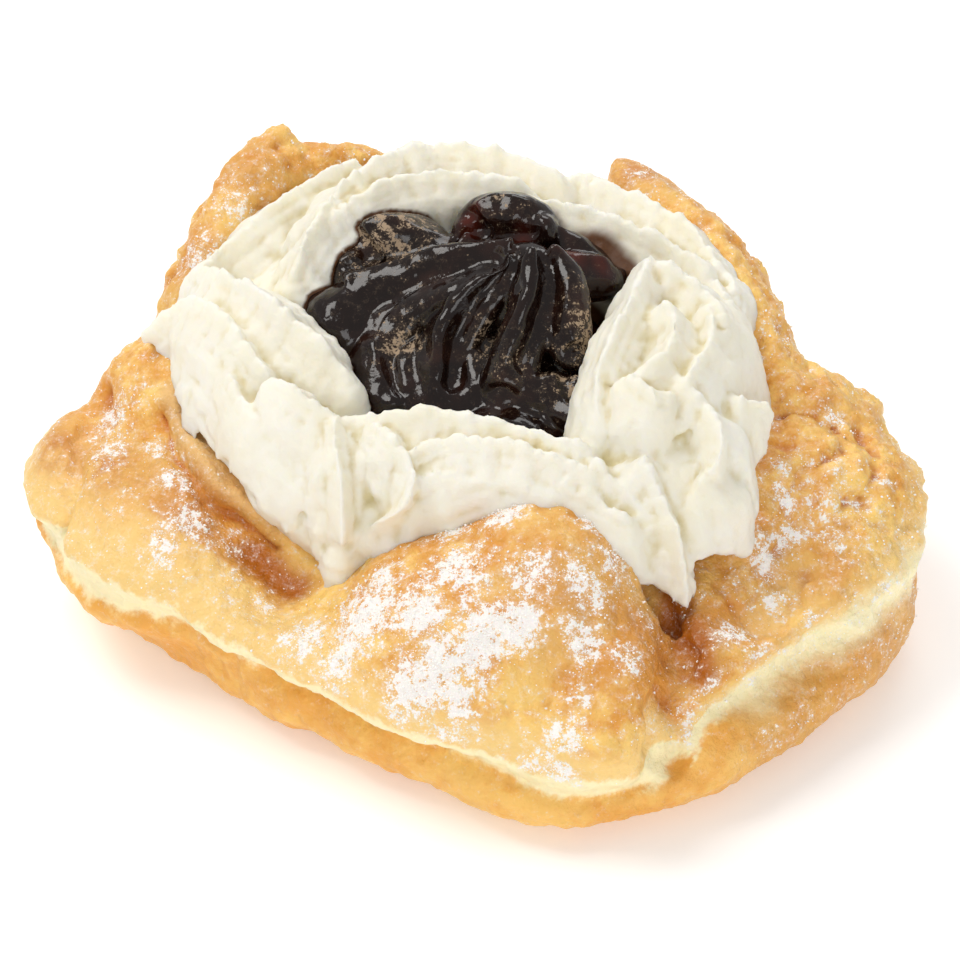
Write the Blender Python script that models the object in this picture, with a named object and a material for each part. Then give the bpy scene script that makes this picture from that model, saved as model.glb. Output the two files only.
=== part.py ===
"""A filled star of fried dough: five puffed petals, a piped wreath of cream and a rosette of jam.

The pastry stands on its flat underside at z = 0, centred on the origin, with +Z up and -Y towards
the front petal. Plan positions are azimuths, in degrees anticlockwise from +X, and distances from
an axis. Every piece is fused from simple bodies, so its petals and ridges melt into each other.
"""

import math

import bmesh
import bpy
import numpy as np
from mathutils import Matrix, Vector, noise

MM = 0.001

# Driving sizes
STAR_RADIUS = 60 * MM  # centre to the tip of the widest petal
GAP = 0.45 * MM  # clearance between pastry, cream and jam
WREATH_AXIS = Vector((0, 8 * MM, 0))  # the wreath sits a little behind the pastry's centre
JAM_AXIS = Vector((6 * MM, 8 * MM, 0))  # peak of the rosette

# How finely each piece is fused, and how many triangles it keeps
CUTTER_VOXEL = 1 * MM
PASTRY_VOXEL, PASTRY_SMOOTHING, PASTRY_TRIANGLES = 1.4 * MM, 9, 5200
CREAM_VOXEL, CREAM_SMOOTHING, CREAM_TRIANGLES = 0.8 * MM, 3, 5600
JAM_VOXEL, JAM_SMOOTHING, JAM_TRIANGLES = 0.8 * MM, 2, 2600

# Outlines: share of STAR_RADIUS by azimuth, at the petal tips and at the waists between them
LOWER_CRUST = {
    180: 0.90,
    196: 0.84,
    217: 0.73,
    238: 0.71,
    258: 0.77,
    284: 0.92,
    310: 0.93,
    342: 0.99,
    5: 0.93,
    25: 0.80,
    52: 0.82,
    88: 0.74,
    122: 0.86,
    156: 0.80,
}
UPPER_CRUST = {
    184: 1.01,
    198: 0.92,
    220: 0.78,
    239: 0.74,
    260: 0.775,
    275: 0.835,
    288: 0.935,
    300: 0.86,
    311: 0.85,
    323: 0.875,
    343: 1.00,
    356: 0.98,
    8: 0.84,
    25: 0.72,
    52: 0.76,
    88: 0.68,
    122: 0.80,
    156: 0.72,
    170: 0.80,
}

# Height in millimetres of the pale belt between the two crusts
BELT = {
    184: 16,
    200: 15.5,
    240: 12.5,
    262: 11.5,
    288: 8.5,
    297: 10,
    304: 13,
    342: 15.2,
    10: 17,
    90: 15,
    150: 16,
}


def around(table, azimuth):
    """Value of a table {azimuth: value} at any azimuth, eased from each entry to the next."""
    stops = sorted((key % 360, value) for key, value in table.items())
    azimuth %= 360
    before = max((s for s in stops if s[0] <= azimuth), default=stops[-1])
    after = min((s for s in stops if s[0] > azimuth), default=stops[0])
    span = (after[0] - before[0]) % 360 or 360
    share = ((azimuth - before[0]) % 360) / span
    ease = share * share * (3 - 2 * share)
    return before[1] + (after[1] - before[1]) * ease


def through(values, share):
    """Quadratic through three values, at shares 0, 0.5 and 1."""
    first, middle, last = values
    return (
        first * (1 - share) * (1 - 2 * share)
        + middle * 4 * share * (1 - share)
        + last * share * (2 * share - 1)
    )


def polar(azimuth, radius, height, axis=Vector()):
    """Point at an azimuth in degrees and a distance and a height in millimetres, about an axis."""
    turn = math.radians(azimuth)
    return axis + Vector((radius * math.cos(turn), radius * math.sin(turn), height)) * MM


def material(name, colour, roughness):
    made = bpy.data.materials.new(name)
    made.use_nodes = True
    shader = made.node_tree.nodes["Principled BSDF"]
    shader.inputs["Base Color"].default_value = (*colour, 1)
    shader.inputs["Roughness"].default_value = roughness
    shader.inputs["Metallic"].default_value = 0
    return made


def new_object(name, mesh):
    made = bpy.data.objects.new(name, mesh)
    bpy.context.scene.collection.objects.link(made)
    return made


def evaluated_mesh(source):
    graph = bpy.context.evaluated_depsgraph_get()
    graph.update()
    return bpy.data.meshes.new_from_object(source.evaluated_get(graph))


def bake(piece):
    """Replaces an object's data by its evaluated mesh, so that its modifiers are spent."""
    mesh = evaluated_mesh(piece)
    piece.modifiers.clear()
    piece.data = mesh
    return piece


# Simple bodies that the pieces are fused from


def ball(shape, segments=48, rings=24):
    """Unit sphere whose every point is moved by shape(azimuth, rise), rise running -1 to 1."""
    mesh = bpy.data.meshes.new("ball")
    work = bmesh.new()
    bmesh.ops.create_uvsphere(work, u_segments=segments, v_segments=rings, radius=1)
    for vertex in work.verts:
        x, y, z = vertex.co
        vertex.co = shape(math.degrees(math.atan2(y, x)), math.hypot(x, y), max(-1, min(1, z)))
    work.to_mesh(mesh)
    work.free()
    return new_object("ball", mesh)


def bun(outline, low, high, fullness):
    """Flattened bun with one of the outlines, between two heights; less fullness is squarer."""
    middle, half = (low + high) / 2, (high - low) / 2

    def shape(azimuth, across, rise):
        radius = STAR_RADIUS * around(outline, azimuth) * across**fullness
        height = middle + half * math.copysign(abs(rise) ** fullness, rise)
        return polar(azimuth, radius / MM, height)

    return ball(shape, 96, 32)


def lump(azimuth, radius, height, length, width, depth, lean=0, axis=Vector()):
    """Puffed body: length along its own radius, width across it, depth up; lean lifts its inner end."""
    centre = polar(azimuth, radius, height, axis)
    turn = Matrix.Rotation(math.radians(azimuth), 3, "Z")
    lift = Matrix.Rotation(math.radians(lean), 3, "Y")

    def shape(angle, across, rise):
        angle = math.radians(angle)
        point = Vector((across * math.cos(angle) * length, across * math.sin(angle) * width, rise * depth))
        return centre + turn @ lift @ point * MM

    return ball(shape)


def crest_profile(peak, hollow):
    """Cross-section of a piped ridge: round below, its flanks drawn up to a crest at the peak height."""
    curve = bpy.data.curves.new("profile", "CURVE")
    curve.dimensions = "2D"
    below = [math.pi * (1 + step / 10) for step in range(10)]
    outline = [(math.cos(angle), math.sin(angle)) for angle in below]
    for step in range(14):
        x = 1 - step / 7
        outline.append((x, peak * (1 - abs(x)) ** hollow))
    line = curve.splines.new("POLY")
    line.points.add(len(outline) - 1)
    line.use_cyclic_u = True
    for point, (x, y) in zip(line.points, outline):
        point.co = (x, y, 0, 1)
    return new_object("profile", curve)


def ridge(azimuth, radius, height, thick, lean=0, profile=None, axis=WREATH_AXIS, steps=24):
    """Ridge swept along its crest. Each size is (start, middle, end); azimuth may leave out the middle."""
    if len(azimuth) == 2:
        azimuth = (azimuth[0], sum(azimuth) / 2, azimuth[1])
    curve = bpy.data.curves.new("ridge", "CURVE")
    curve.dimensions = "3D"
    curve.twist_mode = "Z_UP"
    curve.use_fill_caps = True
    curve.bevel_mode = "OBJECT"
    curve.bevel_object = profile
    peak = max(point.co.y for point in profile.data.splines[0].points)
    line = curve.splines.new("POLY")
    line.points.add(steps)
    for index, point in enumerate(line.points):
        share = index / steps
        size = through(thick, share) * math.sqrt(max(0.03, 1 - (2 * share - 1) ** 4))
        drop = through(height, share) - peak * size
        point.co = (*polar(through(azimuth, share), through(radius, share), drop, axis), 1)
        point.radius = size * MM
        point.tilt = math.radians(lean)
    swept = new_object("swept", curve)
    made = new_object("ridge", evaluated_mesh(swept))
    bpy.data.objects.remove(swept)
    return made


def add_remesh(piece, voxel):
    remesh = piece.modifiers.new("skin", "REMESH")
    remesh.mode = "VOXEL"
    remesh.voxel_size = voxel


def fuse(name, bodies, voxel, smoothing):
    """One closed skin over overlapping bodies, with its creases softened."""
    joined = bmesh.new()
    for body in bodies:
        joined.from_mesh(body.data)
        bpy.data.objects.remove(body)
    mesh = bpy.data.meshes.new(name)
    joined.to_mesh(mesh)
    joined.free()
    piece = new_object(name, mesh)
    add_remesh(piece, voxel)
    soften = piece.modifiers.new("soften", "SMOOTH")
    soften.factor = 0.5
    soften.iterations = smoothing
    return bake(piece)


def keep_largest(piece):
    """Drops loose scraps, leaving the largest connected body."""
    work = bmesh.new()
    work.from_mesh(piece.data)
    unseen = set(work.verts)
    groups = []
    while unseen:
        group, edge = set(), {unseen.pop()}
        while edge:
            group |= edge
            edge = {link.other_vert(v) for v in edge for link in v.link_edges} - group
        unseen -= group
        groups.append(group)
    largest = max(groups, key=len)
    bmesh.ops.delete(work, geom=[v for v in work.verts if v not in largest], context="VERTS")
    work.to_mesh(piece.data)
    work.free()
    return piece


def thin_out(piece, triangles):
    """Decimates a piece to about that many triangles."""
    piece.data.calc_loop_triangles()
    decimate = piece.modifiers.new("thin", "DECIMATE")
    decimate.ratio = triangles / len(piece.data.loop_triangles)
    decimate.use_collapse_triangulate = True
    return bake(piece)


def cut_clear(piece, neighbour, voxel):
    """Cuts a piece back until it clears its neighbour by the gap, and skins it again."""
    cutter = new_object("cutter", neighbour.data.copy())
    swell = cutter.modifiers.new("swell", "DISPLACE")
    swell.strength = GAP
    swell.mid_level = 0
    add_remesh(cutter, CUTTER_VOXEL)
    bake(cutter)
    cut = piece.modifiers.new("cut", "BOOLEAN")
    cut.operation = "DIFFERENCE"
    cut.solver = "EXACT"
    cut.object = cutter
    add_remesh(piece, voxel)
    bake(piece)
    bpy.data.objects.remove(cutter)
    return keep_largest(piece)


def stand_flat(piece):
    """Slices the underside off at z = 0, leaving one flat face to stand on."""
    work = bmesh.new()
    work.from_mesh(piece.data)
    bmesh.ops.bisect_plane(
        work,
        geom=work.verts[:] + work.edges[:] + work.faces[:],
        plane_co=(0, 0, 0),
        plane_no=(0, 0, -1),
        clear_outer=True,
        dist=1e-7,
    )
    rim = [edge for edge in work.edges if edge.is_boundary]
    bmesh.ops.holes_fill(work, edges=rim, sides=0)
    bmesh.ops.recalc_face_normals(work, faces=work.faces)
    work.to_mesh(piece.data)
    work.free()
    return piece


# Relief


def points_of(piece):
    flat = np.empty(3 * len(piece.data.vertices))
    piece.data.vertices.foreach_get("co", flat)
    return flat.reshape(-1, 3)


def normals_of(piece):
    flat = np.empty(3 * len(piece.data.vertices))
    piece.data.vertices.foreach_get("normal", flat)
    return flat.reshape(-1, 3)


def move_points(piece, points):
    piece.data.vertices.foreach_set("co", points.ravel())
    piece.data.update()


def distance_to(points, path):
    """Distance of every point to a path through corner points."""
    nearest = np.full(len(points), np.inf)
    for start, end in zip(path, path[1:]):
        along = np.clip((points - start) @ (end - start) / ((end - start) @ (end - start)), 0, 1)
        nearest = np.minimum(nearest, np.linalg.norm(points - start - along[:, None] * (end - start), axis=1))
    return nearest


def fold(piece, depth, width, *path):
    """Presses the skin in along a path over it, all in millimetres. A negative depth raises it."""
    points = points_of(piece)
    path = [np.array(piece.closest_point_on_mesh(Vector(corner) * MM)[1]) for corner in path]
    reach = np.exp(-((distance_to(points, path) / (width * MM)) ** 2))
    move_points(piece, points - normals_of(piece) * (reach * depth * MM)[:, None])


def belt_path(first, last, rise=0):
    """Corner points in millimetres along the belt, between two azimuths."""
    azimuths = np.linspace(first, last, int(abs(last - first) / 5) + 2)
    outline = [STAR_RADIUS / MM * around(UPPER_CRUST, azimuth) for azimuth in azimuths]
    return [
        tuple(polar(azimuth, radius, around(BELT, azimuth) + rise) / MM)
        for azimuth, radius in zip(azimuths, outline)
    ]


def pucker(piece, size, depth):
    """Uneven puffing: raises and dents the skin in soft lumps of about that size."""
    points = points_of(piece)
    lumps = np.array([noise.noise(Vector(point) / size) for point in points])
    move_points(piece, points + normals_of(piece) * (lumps * depth)[:, None])


# Pastry


def petal_bodies():
    """The five petals: three low puffed mounds in front and two upright flaps at the back."""
    soft = crest_profile(1.15, 0.7)
    centre = Vector()
    bodies = [
        # left petal, with the smooth thumb at its tip
        lump(190, 38, 15, 20, 21, 12, lean=4),
        lump(183, 51.5, 17, 8.5, 12, 8),
        lump(168, 40, 20, 12, 13, 12, lean=6),
        # front petal, highest at its inner end
        lump(273, 32, 16, 17, 21, 14, lean=12),
        lump(285, 31, 22, 12, 13, 12, lean=14),
        lump(292, 38, 15.5, 15, 10, 11, lean=10),
        # right petal
        lump(338, 41, 13, 18, 18, 11, lean=4),
        lump(350, 44, 17.5, 14.5, 13, 12, lean=3),
        lump(342, 36, 22, 10, 12, 8),
        lump(2, 42, 21.5, 11, 11, 9),
        # back flaps: tall folds that lean outwards, with a low rise between them
        lump(88, 32, 16, 13, 24, 13),
        ridge((65, 40, 2), (43.5, 38.5, 39.5), (42, 41, 32), (3.5, 7, 7), profile=soft, axis=centre),
        ridge((70, 40, 2), (37, 34, 36), (32, 33, 27), (6, 10, 10), profile=soft, axis=centre),
        ridge((121, 139, 160), (50.5, 45.5, 41.5), (45, 40.5, 29.5), (3.5, 6, 8), profile=soft, axis=centre),
        ridge((98, 110, 125), (43, 46, 47.5), (33, 39, 42.5), (4, 5, 5), profile=soft, axis=centre),
        ridge((100, 130, 165), (42, 41, 39), (31, 32, 26), (8, 11, 9), profile=soft, axis=centre),
    ]
    bpy.data.objects.remove(soft)
    return bodies


def make_pastry():
    bodies = [
        bun(LOWER_CRUST, -1.5, 15.5, 0.6),
        bun(UPPER_CRUST, 9, 22, 0.6),
        *petal_bodies(),
    ]
    pastry = fuse("pastry_star", bodies, PASTRY_VOXEL, PASTRY_SMOOTHING)
    # pale belt, pressed in under the rim of the upper crust
    fold(pastry, 1.2, 2.0, *belt_path(184, 232, rise=-1))
    fold(pastry, 2.2, 2.0, *belt_path(232, 292, rise=-1))
    fold(pastry, 0.9, 2.2, *belt_path(311, 520, rise=-1))
    fold(pastry, -1.0, 2.0, *belt_path(311, 366, rise=5))
    # crease between the front and right petals, and the hollow between the left and front ones
    front_crease = [
        (19, -24, 30),
        (22.2, -27, 24),
        (23.9, -31, 18),
        (24.9, -38, 20),
        (25, -42, 19.5),
        (24.6, -46.5, 17),
        (24, -49.5, 12.5),
    ]
    fold(pastry, 3.2, 2.4, *front_crease[:3])
    fold(pastry, 2.8, 2.9, *front_crease[3:])
    fold(pastry, 1.6, 2.0, *front_crease[2:])
    fold(pastry, 4, 5, (-31, -19, 25), (-24, -24, 22), (-26, -28, 20))
    fold(pastry, -1.5, 3.0, (24.5, -24, 26), (28, -30, 22), (29, -37, 18))
    # thumb of the left petal, folds of the right one
    fold(pastry, 1.5, 2.5, (-50, 4, 26), (-52.5, -6, 24), (-53.5, -13, 19))
    fold(pastry, 1.5, 3, (27, -35, 26), (35, -32, 23), (39, -27, 23), (41, -17, 28))
    fold(pastry, 1.2, 2, (26, -43, 13), (35, -39, 15), (47, -32, 17), (56, -20, 19))
    pucker(pastry, 12 * MM, 0.8 * MM)
    thin_out(pastry, PASTRY_TRIANGLES)
    stand_flat(pastry)
    pastry.data.materials.append(material("fried_dough", (0.72, 0.40, 0.15), 0.55))
    return pastry


# Cream


def cream_crests():
    """Crests of the wreath's ridges: azimuth, distance, height and thickness from start to end."""
    return [
        # back, side by side round the wreath
        dict(azimuth=(165, 147, 123), radius=(38, 33, 30.5), height=(38, 42, 44), thick=(3, 4.5, 3.5)),
        dict(azimuth=(168, 146, 107), radius=(25, 24, 25.5), height=(40, 46, 47.3), thick=(3.5, 4.5, 4)),
        dict(azimuth=(112, 90, 62), radius=(27, 24.5, 23), height=(46.5, 47, 45.2), thick=(3, 4, 3)),
        dict(azimuth=(161, 130, 68), radius=(24.5, 21, 17), height=(41, 46.8, 46.5), thick=(2.4, 2.6, 2.6)),
        dict(azimuth=(157, 110, 54), radius=(22.5, 19.5, 18.5), height=(37, 40, 39), thick=(5, 6, 5)),
        dict(azimuth=(60, 56, 50), radius=(24.5, 26.5, 26.5), height=(44, 44, 43.5), thick=(2, 2.5, 2)),
        dict(azimuth=(68, 33, 8), radius=(16, 20.5, 29.5), height=(45, 45, 42.5), thick=(4.5, 5, 4)),
        dict(azimuth=(63, 34, 1), radius=(24, 28.5, 33.5), height=(43, 43.5, 39.5), thick=(3.5, 3.8, 2.6)),
        dict(azimuth=(12, -8, -17), radius=(29, 33.5, 36), height=(41, 40, 36.5), thick=(3, 2.6, 2.2)),
        dict(azimuth=(-31, -29, -26), radius=(38.5, 40, 41.5), height=(39.5, 38, 36), thick=(3, 2.2, 0.4)),
        # end of the piping, folded over on the right, with a hook, a blade and a spike
        dict(azimuth=(-4, -42, -59), radius=(21.5, 22.5, 28.5), height=(47.5, 46, 41), thick=(3, 3, 2.6)),
        dict(azimuth=(-4, -11, -21), radius=(22, 29, 33.5), height=(47.5, 46, 43), thick=(3, 5, 4)),
        dict(azimuth=(-50, -49, -45), radius=(29.5, 32.5, 33.5), height=(45.5, 44.5, 43.5), thick=(3.5, 3, 0.8)),
        dict(azimuth=(-23, -32, -46), radius=(25.5, 29, 29.5), height=(47, 46, 45), thick=(2.5, 3, 3)),
        dict(azimuth=(-16, -28, -41), radius=(30, 32.5, 33), height=(45, 44, 43.5), thick=(3, 3.5, 3.5)),
        dict(azimuth=(-40, -42, -50), radius=(31.5, 39, 42), height=(43.5, 40.5, 34.5), thick=(3.5, 4.5, 4)),
        dict(azimuth=(-30, -34, -38), radius=(37, 38.5, 39), height=(38, 34.5, 30), thick=(3.2, 2.4, 2.2)),
        dict(azimuth=(-48, -45.5, -47), radius=(39.5, 42.5, 44), height=(34.5, 32.5, 28.5), thick=(2.8, 2.6, 1.6)),
        dict(azimuth=(-56, -56.5, -57.2), radius=(37, 42.8, 48.6), height=(38.5, 31, 21.2), thick=(5.5, 3.6, 0.2)),
        dict(azimuth=(-64, -60, -57.2), radius=(33.5, 39.5, 46.5), height=(37.5, 32.5, 24), thick=(3.4, 2.2, 0.3)),
        # front
        dict(azimuth=(-127, -97, -65), radius=(28, 24, 30.5), height=(38.5, 40, 38.5), thick=(3.5, 4, 4)),
        dict(azimuth=(-110, -90, -66), radius=(30, 27.5, 34), height=(36, 39, 37), thick=(3, 4.5, 4)),
        dict(azimuth=(-104, -83, -63), radius=(31.5, 29.5, 40), height=(34, 36.5, 33), thick=(3, 4, 3.5)),
        # left, across the wreath from its rim to the jam
        dict(azimuth=(166, 188, 217), radius=(38.5, 27.5, 21.5), height=(38.5, 43, 38.5), thick=(3, 5.5, 3)),
        dict(azimuth=(-179, -176, -152), radius=(44, 35.5, 30.5), height=(34.5, 41, 39), thick=(0.8, 4.5, 3.5)),
        dict(azimuth=(-145, -137, -127), radius=(32, 31, 28.5), height=(41.5, 41, 38.5), thick=(2.2, 3.5, 3.5)),
        dict(azimuth=(-168, -146, -124), radius=(40, 36, 35), height=(32, 30.5, 27), thick=(0.8, 1.8, 2.2)),
        dict(azimuth=(-171, -151, -128), radius=(38.5, 33.5, 33.5), height=(35, 35, 29.5), thick=(2, 3.5, 3)),
        dict(azimuth=(-158, -140, -125), radius=(35, 35, 32.5), height=(38, 36, 31), thick=(2, 2.5, 2)),
        dict(azimuth=(-131, -120, -108), radius=(32.5, 33.5, 31), height=(29, 26, 29), thick=(2.4, 2.6, 2.6)),
        dict(azimuth=(-118, -108, -113), radius=(28, 31, 34.5), height=(39, 36, 25), thick=(4, 3.6, 2.2)),
        dict(azimuth=(-127, -122, -119), radius=(30.5, 33.5, 36), height=(39, 35.5, 26), thick=(2.5, 3, 3)),
        dict(azimuth=(-148, -143, -131), radius=(33, 35, 36), height=(37, 33, 27), thick=(2.6, 3, 2.6)),
    ]


def wreath_core():
    """Plain ring that fills the wreath under its ridges."""
    profile = crest_profile(1, 0.5)
    core = [
        ridge((0, 120), (27, 25, 27), (36, 39, 38), (8, 9, 8), profile=profile),
        ridge((110, 200), (27, 29, 28), (37, 37, 35), (8, 9, 8), profile=profile),
        ridge((190, 245), (28, 27, 28), (34, 34, 31), (8, 8, 6), profile=profile),
        ridge((235, 370), (26, 26.5, 27), (33, 34, 36), (7, 6, 8), profile=profile),
        ridge((300, 360), (30, 31, 31), (36, 38, 36), (7, 8, 8), profile=profile),
        ridge((304, 338), (35, 37, 33), (31, 33, 34), (4, 5, 5), profile=profile),
        ridge((290, 330), (33, 35, 36), (33, 37, 36), (7, 8, 7), profile=profile),
        ridge((212, 236, 256), (32.5, 31, 28.5), (33, 30, 33.5), (4.5, 6, 5.5), profile=profile),
    ]
    bpy.data.objects.remove(profile)
    return core


def make_cream(pastry):
    blade = crest_profile(1.5, 1.25)
    ridges = [ridge(profile=blade, axis=WREATH_AXIS, **crest) for crest in cream_crests()]
    bpy.data.objects.remove(blade)
    cream = fuse("cream_wreath", wreath_core() + ridges, CREAM_VOXEL, CREAM_SMOOTHING)
    cut_clear(cream, pastry, CREAM_VOXEL)
    thin_out(cream, CREAM_TRIANGLES)
    cream.data.materials.append(material("whipped_cream", (0.93, 0.90, 0.74), 0.45))
    return cream


# Jam


def jam_crests():
    """Crests of the rosette's ridges, which swirl down from one peak, in the same terms."""
    return [
        dict(azimuth=(165, 163, 174), radius=(2, 14, 27.5), height=(49.5, 44.5, 39), thick=(2.5, 4.8, 8)),
        dict(azimuth=(184, 184, 220), radius=(3, 17, 21.5), height=(48, 40, 34), thick=(2.5, 4, 4)),
        dict(azimuth=(215, 207, 236), radius=(2.5, 10, 17), height=(48.5, 42, 35.5), thick=(2.5, 3.5, 4)),
        dict(azimuth=(290, 266, 258), radius=(2, 9, 16), height=(50, 43.5, 36.5), thick=(2.5, 3.2, 4)),
        dict(azimuth=(0, -48, -60), radius=(3.5, 8, 13), height=(49, 45, 40), thick=(3, 3.2, 3)),
        dict(azimuth=(18, 18, 21), radius=(4, 9, 14), height=(47, 44.5, 41), thick=(3, 3.5, 1.5)),
        dict(azimuth=(-101, -82, -64), radius=(15, 14, 15.5), height=(36.5, 38, 38), thick=(3, 3.5, 3.5)),
        dict(azimuth=(-78, -74, -69), radius=(15, 18, 21.5), height=(37, 36.5, 36), thick=(3, 2.2, 0.6)),
        # lumps behind the peak
        dict(azimuth=(164, 150, 151), radius=(24.5, 20.5, 11.5), height=(42, 45.5, 45.5), thick=(5.5, 7, 5)),
        dict(azimuth=(133, 106, 70), radius=(12, 11, 7), height=(46, 49, 48), thick=(3.5, 4.5, 4)),
        dict(azimuth=(60, 35, 22), radius=(9, 10, 13), height=(46, 44, 41), thick=(2, 2.5, 1.5)),
    ]


def jam_core():
    return [
        lump(200, 6, 28, 18, 16, 10, axis=JAM_AXIS),
        lump(0, 0, 38, 6, 6, 10, axis=JAM_AXIS),
        lump(150, 10, 34, 12, 9, 9, axis=JAM_AXIS),
        lump(177, 24, 33, 6, 6.5, 6.5, axis=JAM_AXIS),
    ]


def make_jam(pastry, cream):
    rolled = crest_profile(1.2, 0.8)
    ridges = [ridge(profile=rolled, axis=JAM_AXIS, **crest) for crest in jam_crests()]
    bpy.data.objects.remove(rolled)
    jam = fuse("jam_rosette", jam_core() + ridges, JAM_VOXEL, JAM_SMOOTHING)
    cut_clear(jam, pastry, JAM_VOXEL)
    cut_clear(jam, cream, JAM_VOXEL)
    thin_out(jam, JAM_TRIANGLES)
    jam.data.materials.append(material("jam", (0.025, 0.012, 0.010), 0.18))
    return jam


def shade(piece):
    piece.data.shade_smooth()
    piece.data.set_sharp_from_angle(angle=math.radians(50))


def main():
    for old in list(bpy.data.objects):
        bpy.data.objects.remove(old)
    pastry = make_pastry()
    cream = make_cream(pastry)
    jam = make_jam(pastry, cream)
    for piece in (pastry, cream, jam):
        shade(piece)


main()
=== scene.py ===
import math

import bpy
import numpy as np
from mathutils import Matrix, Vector, kdtree, noise


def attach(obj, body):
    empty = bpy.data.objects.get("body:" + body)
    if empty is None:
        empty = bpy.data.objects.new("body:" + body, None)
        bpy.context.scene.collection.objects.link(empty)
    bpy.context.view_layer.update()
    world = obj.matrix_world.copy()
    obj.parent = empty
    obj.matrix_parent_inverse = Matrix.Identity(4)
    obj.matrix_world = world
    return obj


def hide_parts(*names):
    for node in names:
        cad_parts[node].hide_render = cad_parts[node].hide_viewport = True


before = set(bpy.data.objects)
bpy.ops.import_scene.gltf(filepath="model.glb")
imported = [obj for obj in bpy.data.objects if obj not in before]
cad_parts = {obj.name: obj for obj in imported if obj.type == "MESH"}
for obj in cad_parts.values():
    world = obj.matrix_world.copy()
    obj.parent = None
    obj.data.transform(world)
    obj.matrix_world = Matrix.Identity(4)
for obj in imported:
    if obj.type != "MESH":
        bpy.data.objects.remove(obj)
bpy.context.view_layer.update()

# sizes of the pieces are in millimetres and degrees, those of the stage in metres
mm = 0.001

# how deep a piece reaches into its neighbour, so that no gap shows
sinkDepth = 0.2

# rounds of smoothing that the valleys of a skin are measured against, for the painted shade in them
valleyRounds = 40


# small helpers

def pick(*pieces):
    bpy.ops.object.select_all(action="DESELECT")
    for piece in pieces:
        piece.select_set(True)
    bpy.context.view_layer.objects.active = pieces[0]
    return pieces[0]


def startEditing():
    bpy.ops.object.mode_set(mode="EDIT")
    bpy.ops.mesh.select_all(action="SELECT")


def stopEditing():
    bpy.ops.object.mode_set(mode="OBJECT")


def applyModifiers(piece):
    pick(piece)
    for modifier in list(piece.modifiers):
        bpy.ops.object.modifier_apply(modifier=modifier.name)
    return piece


def around(table, azimuth):
    # value of a table {azimuth: value}, eased from each entry to the next
    stops = sorted((key % 360, value) for key, value in table.items())
    azimuth %= 360
    before = max((s for s in stops if s[0] <= azimuth), default=stops[-1])
    after = min((s for s in stops if s[0] > azimuth), default=stops[0])
    span = (after[0] - before[0]) % 360 or 360
    share = ((azimuth - before[0]) % 360) / span
    return before[1] + (after[1] - before[1]) * share * share * (3 - 2 * share)


def through(values, share):
    # quadratic through three values
    first, middle, last = values
    start = first * (1 - share) * (1 - 2 * share)
    end = last * share * (2 * share - 1)
    return start + middle * 4 * share * (1 - share) + end


def polar(azimuth, radius, height, axis=(0, 0)):
    turn = math.radians(azimuth)
    return Vector((axis[0] + radius * math.cos(turn), axis[1] + radius * math.sin(turn), height)) * mm


def pointsOf(piece, kind="co"):
    flat = np.empty(3 * len(piece.data.vertices))
    piece.data.vertices.foreach_get(kind, flat)
    return flat.reshape(-1, 3)


def normalsOf(piece):
    return pointsOf(piece, "normal")


def movePoints(piece, points):
    piece.data.vertices.foreach_set("co", points.ravel())
    piece.data.update()


def storeMask(piece, name, values):
    mask = piece.data.attributes.new(name, "FLOAT", "POINT")
    mask.data.foreach_set("value", np.asarray(values, dtype=np.float32))


def maskOf(piece, name):
    values = np.empty(len(piece.data.vertices), dtype=np.float32)
    piece.data.attributes[name].data.foreach_get("value", values)
    return values


def azimuthsOf(points, axis=(0, 0)):
    return np.degrees(np.arctan2(points[:, 1] - axis[1] * mm, points[:, 0] - axis[0] * mm))


def smoothStep(low, high, values):
    share = np.clip((values - low) / (high - low), 0, 1)
    return share * share * (3 - 2 * share)


def noiseOver(points, size, seed=0):
    # smooth noise, about -1 to 1, with lumps of that size in millimetres
    scale = 1 / (size * mm)
    shift = Vector((seed * 17.3, seed * 5.1, seed * 9.7))
    return np.array([noise.noise(Vector(p) * scale + shift) for p in points])


def distanceTo(points, path):
    nearest = np.full(len(points), np.inf)
    for start, end in zip(path, path[1:]):
        along = np.clip((points - start) @ (end - start) / ((end - start) @ (end - start)), 0, 1)
        nearest = np.minimum(nearest, np.linalg.norm(points - start - along[:, None] * (end - start), axis=1))
    return nearest


def nearness(piece, path, width):
    # 1 on a path laid on the skin, fading away over that width
    snapped = [np.array(piece.closest_point_on_mesh(Vector(corner) * mm)[1]) for corner in path]
    return np.exp(-((distanceTo(pointsOf(piece), snapped) / mm / width) ** 2))


def fold(piece, depth, width, path):
    # presses the skin in along a path, a negative depth raises it
    reach = nearness(piece, path, width)
    movePoints(piece, pointsOf(piece) - normalsOf(piece) * (reach * depth * mm)[:, None])


def fuse(name, bodies, voxel, smoothing):
    pick(*bodies)
    bpy.ops.object.join()
    bpy.ops.object.transform_apply(location=True, rotation=True, scale=True)
    piece = bpy.context.object
    piece.name = piece.data.name = name
    return remesh(piece, voxel, smoothing)


def remesh(piece, voxel, smoothing=0):
    skin = piece.modifiers.new("skin", "REMESH")
    skin.mode = "VOXEL"
    skin.voxel_size = voxel * mm
    if smoothing:
        soften = piece.modifiers.new("soften", "SMOOTH")
        soften.factor = 0.5
        soften.iterations = smoothing
    return applyModifiers(piece)


def relief(piece, kind, size, height, group=None, **settings):
    # raises and dents the skin with one procedural texture
    texture = bpy.data.textures.new(kind.lower(), kind)
    texture.noise_scale = size * mm
    for key, value in settings.items():
        setattr(texture, key, value)
    lift = piece.modifiers.new("relief", "DISPLACE")
    lift.texture = texture
    lift.texture_coords = "LOCAL"
    lift.strength = height * mm
    lift.mid_level = 0.5
    if group:
        lift.vertex_group = group
    return applyModifiers(piece)


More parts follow.
